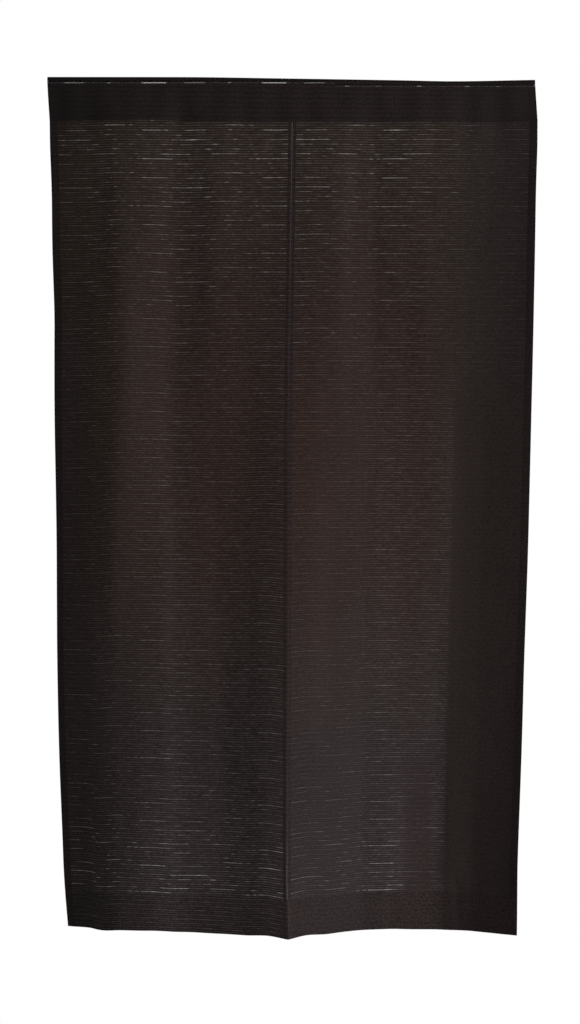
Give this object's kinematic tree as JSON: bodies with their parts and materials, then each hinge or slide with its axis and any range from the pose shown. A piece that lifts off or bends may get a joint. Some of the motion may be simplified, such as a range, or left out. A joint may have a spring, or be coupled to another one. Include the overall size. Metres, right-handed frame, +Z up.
{
  "type": "noren curtain",
  "caption": "Sheer dark doorway curtain: two panels hanging side by side from one open sleeve that slips over a rod, with hemmed sides and a deep bottom hem.",
  "frame": {"origin": "on the rod's axis inside the sleeve, at the middle of the width", "axes": "+Z up, +X to the right along the rod as seen from the front, +Y away from the viewer, so the front faces -Y"},
  "size_m": [0.852, 0.1249, 1.4913],
  "materials": {
    "doubled_cloth": "dark brown-black weave, two layers, opaque",
    "sheer_cloth": "dark brown-black open weave with short paler dashes along its rows, slightly see-through"
  },
  "bodies": {
    "root": {"heading": "doubled_cloth", "panel_left": "sheer_cloth", "panel_right": "sheer_cloth"}
  },
  "joints": []
}
